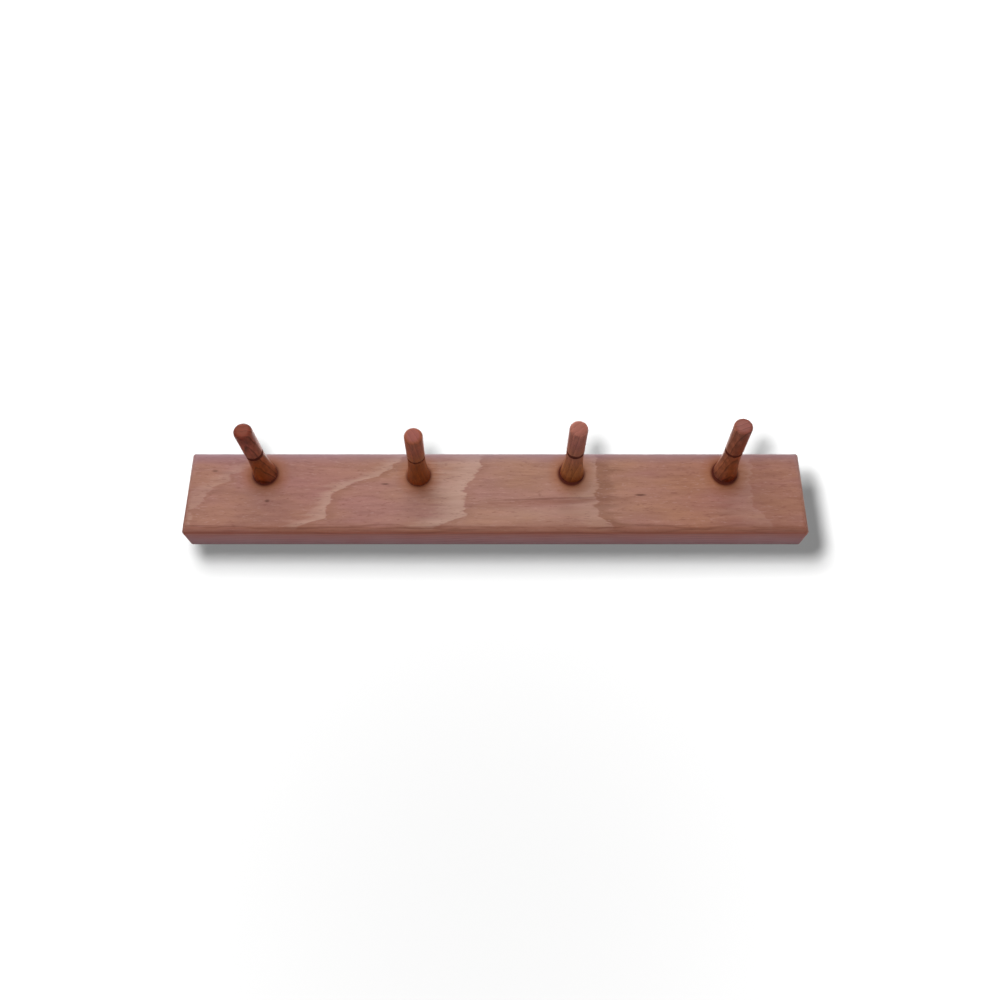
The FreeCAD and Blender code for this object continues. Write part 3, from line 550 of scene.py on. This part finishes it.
def burnished_beech_peg(number, foot, axis):
    """Turned beech: its own arching grain, a burnt ring, a darker foot, a paler tip, and a painted highlight
    on one side with painted shade on the other. Burnishing leaves a soft gloss, and the oil took more
    strongly on some pegs than on others."""
    tones, lean, ring_tilt, ring_turn, ring_phase, ring_depth, mottle, breaks = PEG_LOOKS[number - 1]
    wood = new_material("burnished_beech_peg_%d" % number)
    place = add(wood, "ShaderNodeTexCoord").outputs["Object"]
    turned = axis.to_track_quat("Z", "Y")
    local = add(wood, "ShaderNodeMapping", {
        0: place, "Location": foot, "Rotation": turned.to_euler(), "Scale": (MM,) * 3},
        vector_type="TEXTURE").outputs[0]
    height = add(wood, "ShaderNodeSeparateXYZ", {0: local}).outputs[2]

    # figure along the peg, each kind as thick and as long in millimetres as given, and shifted
    # so that no two pegs are alike; the pores are drawn coarser than real ones so that they show
    figure = {}
    for name, thickness, length, detail in (
            ("waver", 5, 22, 2.0), ("streak", 1.1, 9, 4.0), ("pore", 0.5, 2.6, 2.0),
            ("mottle", 3.2, 4.5, 2.0)):
        stretched = add(wood, "ShaderNodeMapping", {
            0: local, "Scale": (1 / thickness, 1 / thickness, 1 / length), "Location": (number * 3.1, 0, 0)})
        figure[name] = add(wood, "ShaderNodeTexNoise", {
            "Vector": stretched.outputs[0], "Scale": 1.0, "Detail": detail}).outputs["Fac"]

    # from the foot to the tip, darkest at the foot; one side has a painted highlight and the other painted
    # shade, as the light falls on it
    up = add(wood, "ShaderNodeMapRange", {0: height, 1: 0.0, 2: PEG_REACH / MM, 3: 0.0, 4: 1.0})
    body = add(wood, "ShaderNodeValToRGB", {0: up.outputs[0]}, stops=[
        (at * MM / PEG_REACH, tone) for at, tone in zip(TONE_HEIGHTS, tones)])
    sideways = turned.inverted() @ Vector((1, 0, 0))
    side = add(wood, "ShaderNodeVectorMath", {0: local, 1: sideways}, operation="DOT_PRODUCT")
    colour = body.outputs[0]
    lit_side_reach = math.copysign(SIDE_REACH, lean)
    for reached, tone in ((lit_side_reach, "A8745C"), (-lit_side_reach, "6E2C0E")):
        share = add(wood, "ShaderNodeMapRange", {
            0: side.outputs["Value"], 1: 0.0, 2: reached, 3: 0.0, 4: abs(lean)})
        colour = add(wood, "ShaderNodeMix", {
            0: share.outputs[0], 6: colour, 7: linear(tone)}, data_type="RGBA").outputs[2]

    # growth rings, a little off the peg's own line, so that they show as long pointed arches
    across_rings = Vector((math.cos(ring_turn), math.sin(ring_turn), math.tan(math.radians(ring_tilt))))
    ring_place = add(wood, "ShaderNodeVectorMath", {0: local, 1: across_rings}, operation="DOT_PRODUCT")
    rings = add(wood, "ShaderNodeMath", {
        0: ring_place.outputs["Value"], 1: 1 / RING_GAP, 2: ring_phase}, operation="MULTIPLY_ADD")
    wavy_rings = add(wood, "ShaderNodeMath", {
        0: figure["waver"], 1: 0.9, 2: rings.outputs[0]}, operation="MULTIPLY_ADD")
    in_ring = add(wood, "ShaderNodeMath", {0: wavy_rings.outputs[0]}, operation="FRACT")
    ring_tone = add(wood, "ShaderNodeValToRGB", {0: in_ring.outputs[0]}, stops=[
        (0.0, 0.46 - ring_depth), (0.16, 0.46), (0.6, 0.5), (0.9, 0.55 + ring_depth / 4),
        (1.0, 0.46 - ring_depth)])
    mottle_tone = add(wood, "ShaderNodeMapRange", {
        0: figure["mottle"], 1: 0.3, 2: 0.7, 3: 0.5 - mottle, 4: 0.5 + mottle})
    streak_tone = add(wood, "ShaderNodeMapRange", {0: figure["streak"], 1: 0.3, 2: 0.7, 3: 0.32, 4: 0.68})
    for tone, most in ((ring_tone, 0.8), (mottle_tone, 0.8), (streak_tone, 0.5)):
        colour = add(wood, "ShaderNodeMix", {
            0: most, 6: colour, 7: tone.outputs[0]}, data_type="RGBA", blend_type="OVERLAY").outputs[2]
    pore_share = add(wood, "ShaderNodeMapRange", {0: figure["pore"], 1: 0.6, 2: 0.72, 3: 0.0, 4: 0.6})
    colour = add(wood, "ShaderNodeMix", {
        0: pore_share.outputs[0], 6: colour, 7: linear("4A2014")}, data_type="RGBA").outputs[2]

    # end grain on the tip, with the rings cut across
    tip = add(wood, "ShaderNodeMapRange", {0: height, 1: TIP_STARTS, 2: TIP_FULL, 3: 0.0, 4: 0.8})
    flat_place = add(wood, "ShaderNodeMapping", {0: local, "Scale": (1, 1, 0)})
    from_axis = add(wood, "ShaderNodeVectorMath", {0: flat_place.outputs[0]}, operation="LENGTH")
    outward = add(wood, "ShaderNodeMapRange", {
        0: from_axis.outputs["Value"], 1: 0.0, 2: GRIP_RADIUS / MM, 3: 0.0, 4: 1.0})
    tip_ground = add(wood, "ShaderNodeValToRGB", {0: outward.outputs[0]}, stops=[
        (0.0, tones[-1]), (0.55, tones[-1]), (1.0, tones[-2])])
    end_tone = add(wood, "ShaderNodeMix", {
        0: 0.5, 6: tip_ground.outputs[0], 7: ring_tone.outputs[0]}, data_type="RGBA", blend_type="OVERLAY")
    colour = add(wood, "ShaderNodeMix", {
        0: tip.outputs[0], 6: colour, 7: end_tone.outputs[2]}, data_type="RGBA").outputs[2]

    # the ring was burnt in with a wire, harder on one side than on the other
    scorch = add(wood, "ShaderNodeTexNoise", {"Vector": local, "Scale": 0.3, "Detail": 1.0})
    from_ring = add(wood, "ShaderNodeMath", {0: height, 1: RING_PLACE / MM}, operation="SUBTRACT")
    ring_away = add(wood, "ShaderNodeMath", {0: from_ring.outputs[0]}, operation="ABSOLUTE")
    uneven = add(wood, "ShaderNodeMath", {
        0: scorch.outputs["Fac"], 1: breaks, 2: ring_away.outputs[0]}, operation="MULTIPLY_ADD")
    burn = add(wood, "ShaderNodeMapRange", {0: uneven.outputs[0], 1: 2.7, 2: 1.9, 3: 0.0, 4: 0.9})
    colour = add(wood, "ShaderNodeMix", {
        0: burn.outputs[0], 6: colour, 7: linear("430C02")}, data_type="RGBA").outputs[2]

    sheen = add(wood, "ShaderNodeMapRange", {0: figure["streak"], 1: 0.3, 2: 0.7, 3: 0.38, 4: 0.52})
    scorched = add(wood, "ShaderNodeMath", {
        0: burn.outputs[0], 1: 0.4, 2: sheen.outputs[0]}, operation="MULTIPLY_ADD")
    finish_material(wood, colour, scorched.outputs[0], figure["streak"], 0.03,
                    Specular_IOR_Level=0.12, Coat_Weight=0.06, Coat_Roughness=0.25)
    return wood


# a peg leans towards its neck mount, which lies on top of the neck at the ring
necks = {mount["name"]: Vector(mount["pos_m"]) for mount in frame["record"]["mounts"]}
for number, (across, row) in enumerate(PEG_PLACES, start=1):
    foot = Vector((across * MM, FACE_Y * MM, row * MM))
    top_of_neck = necks["peg_%d_neck" % number] - foot
    axis = (top_of_neck - Vector((0, 0, NECK_RADIUS))).normalized()
    wood = burnished_beech_peg(number, foot, axis)
    shape = turned_peg(number, foot, axis, RIM_ROUNDS[number - 1])
    peg = new_piece("turned_peg_%d" % number, shape, wood)
    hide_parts("peg_%d" % number)


# Keyhole hangers
# Two flush hangers stamped from 2 mm steel and zinc plated, let into the back and screwed.
# Plating is bright and slightly blue, a little brushed along the strip.
HANGER_SOFTENING = 0.2 * MM
# length of a brush line, in the material's millimetres
BRUSH_LENGTH = 14


def zinc_plated_steel(name, base, grain_mm):
    """Zinc plate over stamped steel: faint brush lines and dull patches."""
    steel = new_material(name)
    place = add(steel, "ShaderNodeTexCoord").outputs["Object"]
    mm = add(steel, "ShaderNodeMapping", {"Vector": place, "Scale": (1 / MM,) * 3}).outputs[0]
    brush_place = add(steel, "ShaderNodeMapping", {
        0: mm, "Scale": (1 / grain_mm, 1 / grain_mm, 1 / BRUSH_LENGTH)})
    brush = add(steel, "ShaderNodeTexNoise", {"Vector": brush_place.outputs[0], "Scale": 1.0, "Detail": 3.0})
    patch = add(steel, "ShaderNodeTexNoise", {"Vector": mm, "Scale": 0.22, "Detail": 4.0})
    colour = add(steel, "ShaderNodeValToRGB", {0: patch.outputs["Fac"]}, stops=[
        (0.3, base), (0.7, "C9CCCB")])
    dull = add(steel, "ShaderNodeMath", {
        0: brush.outputs["Fac"], 1: patch.outputs["Fac"]}, operation="MULTIPLY")
    rough = add(steel, "ShaderNodeMapRange", {0: dull.outputs[0], 1: 0.1, 2: 0.45, 3: 0.24, 4: 0.46})
    finish_material(steel, colour.outputs[0], rough.outputs[0], brush.outputs["Fac"], 0.01, Metallic=1.0)
    return steel


def softened_copy(node, width):
    """The node's own shape with its sharp rims rounded, as stamping and plating leave them."""
    shape = merged_copy(node)
    bmesh.ops.dissolve_limit(shape, angle_limit=math.radians(0.5), verts=shape.verts, edges=shape.edges)
    rims = [edge for edge in shape.edges if edge.calc_face_angle(0) > CREASE_ANGLE]
    bmesh.ops.bevel(
        shape, geom=rims, offset=width, affect="EDGES", segments=2, profile=0.5, material=-1,
        clamp_overlap=True)
    shade_rounds(shape)
    return shape


zinc = zinc_plated_steel("zinc_plated_stamped_steel", "A9AEAF", 0.3)
for side in ("left", "right"):
    shape = softened_copy("keyhole_hanger_" + side, HANGER_SOFTENING)
    hanger = new_piece("stamped_hanger_" + side, shape, zinc)
    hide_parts("keyhole_hanger_" + side)


# Hanger screws
# Four countersunk cross-head wood screws, zinc plated like the hangers but a shade yellower,
# each driven flush with its hanger.
SCREW_SOFTENING = 0.06 * MM
screw_zinc = zinc_plated_steel("zinc_plated_screw_steel", "B4B1A4", 0.5)
screws = new_piece("countersunk_hanger_screws", softened_copy("hanger_screws", SCREW_SOFTENING), screw_zinc)
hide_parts("hanger_screws")


# Sweep behind and below the rail
# Pale studio paper, most of a metre behind the board and rolled forward under it.
SWEEP_BACK = 0.9
SWEEP_DOWN = -0.6
SWEEP_TOP = 2.6
SWEEP_HALF_WIDTH = 3
SWEEP_LENGTH = 3.5
SWEEP_ROLL = 0.2


def studio_sweep():
    """Wall and floor in one sheet with a round bend between them."""
    sheet = bmesh.new()
    corners = [sheet.verts.new((side * SWEEP_HALF_WIDTH, SWEEP_BACK, height)) for side, height in (
        (-1, SWEEP_TOP), (1, SWEEP_TOP), (1, SWEEP_DOWN), (-1, SWEEP_DOWN))]
    wall = sheet.faces.new(corners)
    foot_edge = [edge for edge in wall.edges if all(v.co.z < 0 for v in edge.verts)]
    grown = bmesh.ops.extrude_edge_only(sheet, edges=foot_edge)
    front = [item for item in grown["geom"] if isinstance(item, bmesh.types.BMVert)]
    bmesh.ops.translate(sheet, vec=(0, -SWEEP_LENGTH, 0), verts=front)
    bend = [edge for edge in sheet.edges if len(edge.link_faces) == 2]
    bmesh.ops.bevel(
        sheet, geom=bend, offset=SWEEP_ROLL, affect="EDGES", segments=16, profile=0.5, material=-1)
    bmesh.ops.recalc_face_normals(sheet, faces=sheet.faces)
    for face in sheet.faces:
        face.smooth = True
    return sheet


paper = new_material("pale_studio_paper")
paper_shader = add(paper, "ShaderNodeBsdfDiffuse", {"Color": linear("C8C8C8"), "Roughness": 1.0})
add(paper, "ShaderNodeOutputMaterial", {"Surface": paper_shader.outputs[0]})
sweep_mesh = bpy.data.meshes.new("sweep")
sweep_maker = studio_sweep()
sweep_maker.to_mesh(sweep_mesh)
sweep_maker.free()
sweep_mesh.materials.append(paper)
sweep = bpy.data.objects.new("sweep", sweep_mesh)
bpy.context.scene.collection.objects.link(sweep)
sweep.visible_diffuse = False


# Camera
# Set as the photograph was taken: held below the rail and looking up at its face, so that the
# lower edge shows and the pegs stand up over the board.
EYE = Vector((2.98, -558.8, -244.5)) * MM
LOOKS_AT = Vector((2.98, 0.0, 3.52)) * MM
camera = bpy.data.objects.new("camera", bpy.data.cameras.new("camera"))
camera.data.sensor_width = 36.0
camera.data.lens = 32.85
camera.data.clip_start = 0.01
camera.location = EYE
camera.rotation_euler = (LOOKS_AT - EYE).to_track_quat("-Z", "Y").to_euler()
bpy.context.scene.collection.objects.link(camera)
bpy.context.scene.camera = camera


# Light
# Soft, from above and in front, with a lamp behind for the back and an even fill all round.
# The paper has lamps of its own, so that its shadow and its white are set apart from the rail.


def soft_lamp(name, place, size, power):
    """A square lamp that faces the rail and leaves the paper behind it alone."""
    lamp = bpy.data.lights.new(name, "AREA")
    lamp.size = size
    lamp.energy = power
    stand = bpy.data.objects.new(name, lamp)
    stand.location = place
    stand.rotation_euler = (-Vector(place)).to_track_quat("-Z", "Y").to_euler()
    stand.visible_camera = False
    bpy.context.scene.collection.objects.link(stand)
    left_out = bpy.data.collections.new(name + "_leaves_out")
    left_out.objects.link(sweep)
    left_out.collection_objects[0].light_linking.link_state = "EXCLUDE"
    stand.light_linking.receiver_collection = left_out


soft_lamp("lamp_above", (-0.25, -0.7, 0.9), 1.3, 7.4)
soft_lamp("lamp_front", (-0.2, -1.2, 0.1), 0.8, 3.9)
soft_lamp("lamp_behind", (0.2, 0.75, 0.55), 0.8, 4.0)

# two small lamps by the camera throw the rail's soft shadow down and to the right on the paper.
# Each is as strong on the paper's far parts as on its near ones: its light is divided by how
# squarely it goes towards the paper, though never by less than this
SQUARENESS_LEAST = 0.3
paper_only = bpy.data.collections.new("paper_only")
paper_only.objects.link(sweep)
for name, power, soft_size, across, forward, rise in (
        ("lamp_shadow_low", 32.0, 0.0085, -0.0148, 0.0050, 0.0182),
        ("lamp_shadow_high", 25.0, 0.0120, -0.0180, 0.0050, 0.0330)):
    shadow_lamp = bpy.data.lights.new(name, "POINT")
    shadow_lamp.energy = power
    shadow_lamp.shadow_soft_size = soft_size
    shadow_lamp.use_nodes = True
    shadow_lamp.node_tree.nodes.clear()
    steady = add(shadow_lamp, "ShaderNodeLightFalloff", {"Strength": 1.0})
    sent = add(shadow_lamp, "ShaderNodeTexCoord").outputs["Normal"]
    toward = add(shadow_lamp, "ShaderNodeSeparateXYZ", {0: sent})
    squareness = add(shadow_lamp, "ShaderNodeMath", {
        0: toward.outputs[1], 1: SQUARENESS_LEAST}, operation="MAXIMUM")
    even = add(shadow_lamp, "ShaderNodeMath", {
        0: steady.outputs["Constant"], 1: squareness.outputs[0]}, operation="DIVIDE")
    glow = add(shadow_lamp, "ShaderNodeEmission", {"Strength": even.outputs[0]})
    add(shadow_lamp, "ShaderNodeOutputLight", {"Surface": glow.outputs[0]})
    shadow_stand = bpy.data.objects.new(name, shadow_lamp)
    shadow_stand.location = EYE + Vector((across, forward, rise))
    bpy.context.scene.collection.objects.link(shadow_stand)
    shadow_stand.light_linking.receiver_collection = paper_only

# the room is dimmer than the white that the camera and the gloss see, and brighter from above
# and in front
ROOM_BRIGHT_WAY = (0.0, -0.5, 0.87)
world = bpy.data.worlds.new("studio")
world.use_nodes = True
world.node_tree.nodes.clear()
seen = add(world, "ShaderNodeLightPath")
way = add(world, "ShaderNodeVectorMath", {
    0: add(world, "ShaderNodeTexCoord").outputs["Generated"], 1: ROOM_BRIGHT_WAY}, operation="DOT_PRODUCT")
share = add(world, "ShaderNodeMapRange", {0: way.outputs["Value"], 1: -1.0, 2: 1.0, 3: 0.28, 4: 0.6})
room = add(world, "ShaderNodeBackground", {"Color": (1, 1, 1, 1), "Strength": share.outputs[0]})
white = add(world, "ShaderNodeBackground", {"Color": (1, 1, 1, 1), "Strength": 1.0})
shown = seen.outputs["Is Camera Ray"]
for ray in ("Is Glossy Ray", "Is Transmission Ray"):
    shown = add(world, "ShaderNodeMath", {0: shown, 1: seen.outputs[ray]}, operation="MAXIMUM").outputs[0]
either = add(world, "ShaderNodeMixShader", {0: shown, 1: room.outputs[0], 2: white.outputs[0]})
add(world, "ShaderNodeOutputWorld", {"Surface": either.outputs[0]})
bpy.context.scene.world = world
bpy.context.scene.view_settings.view_transform = "Standard"
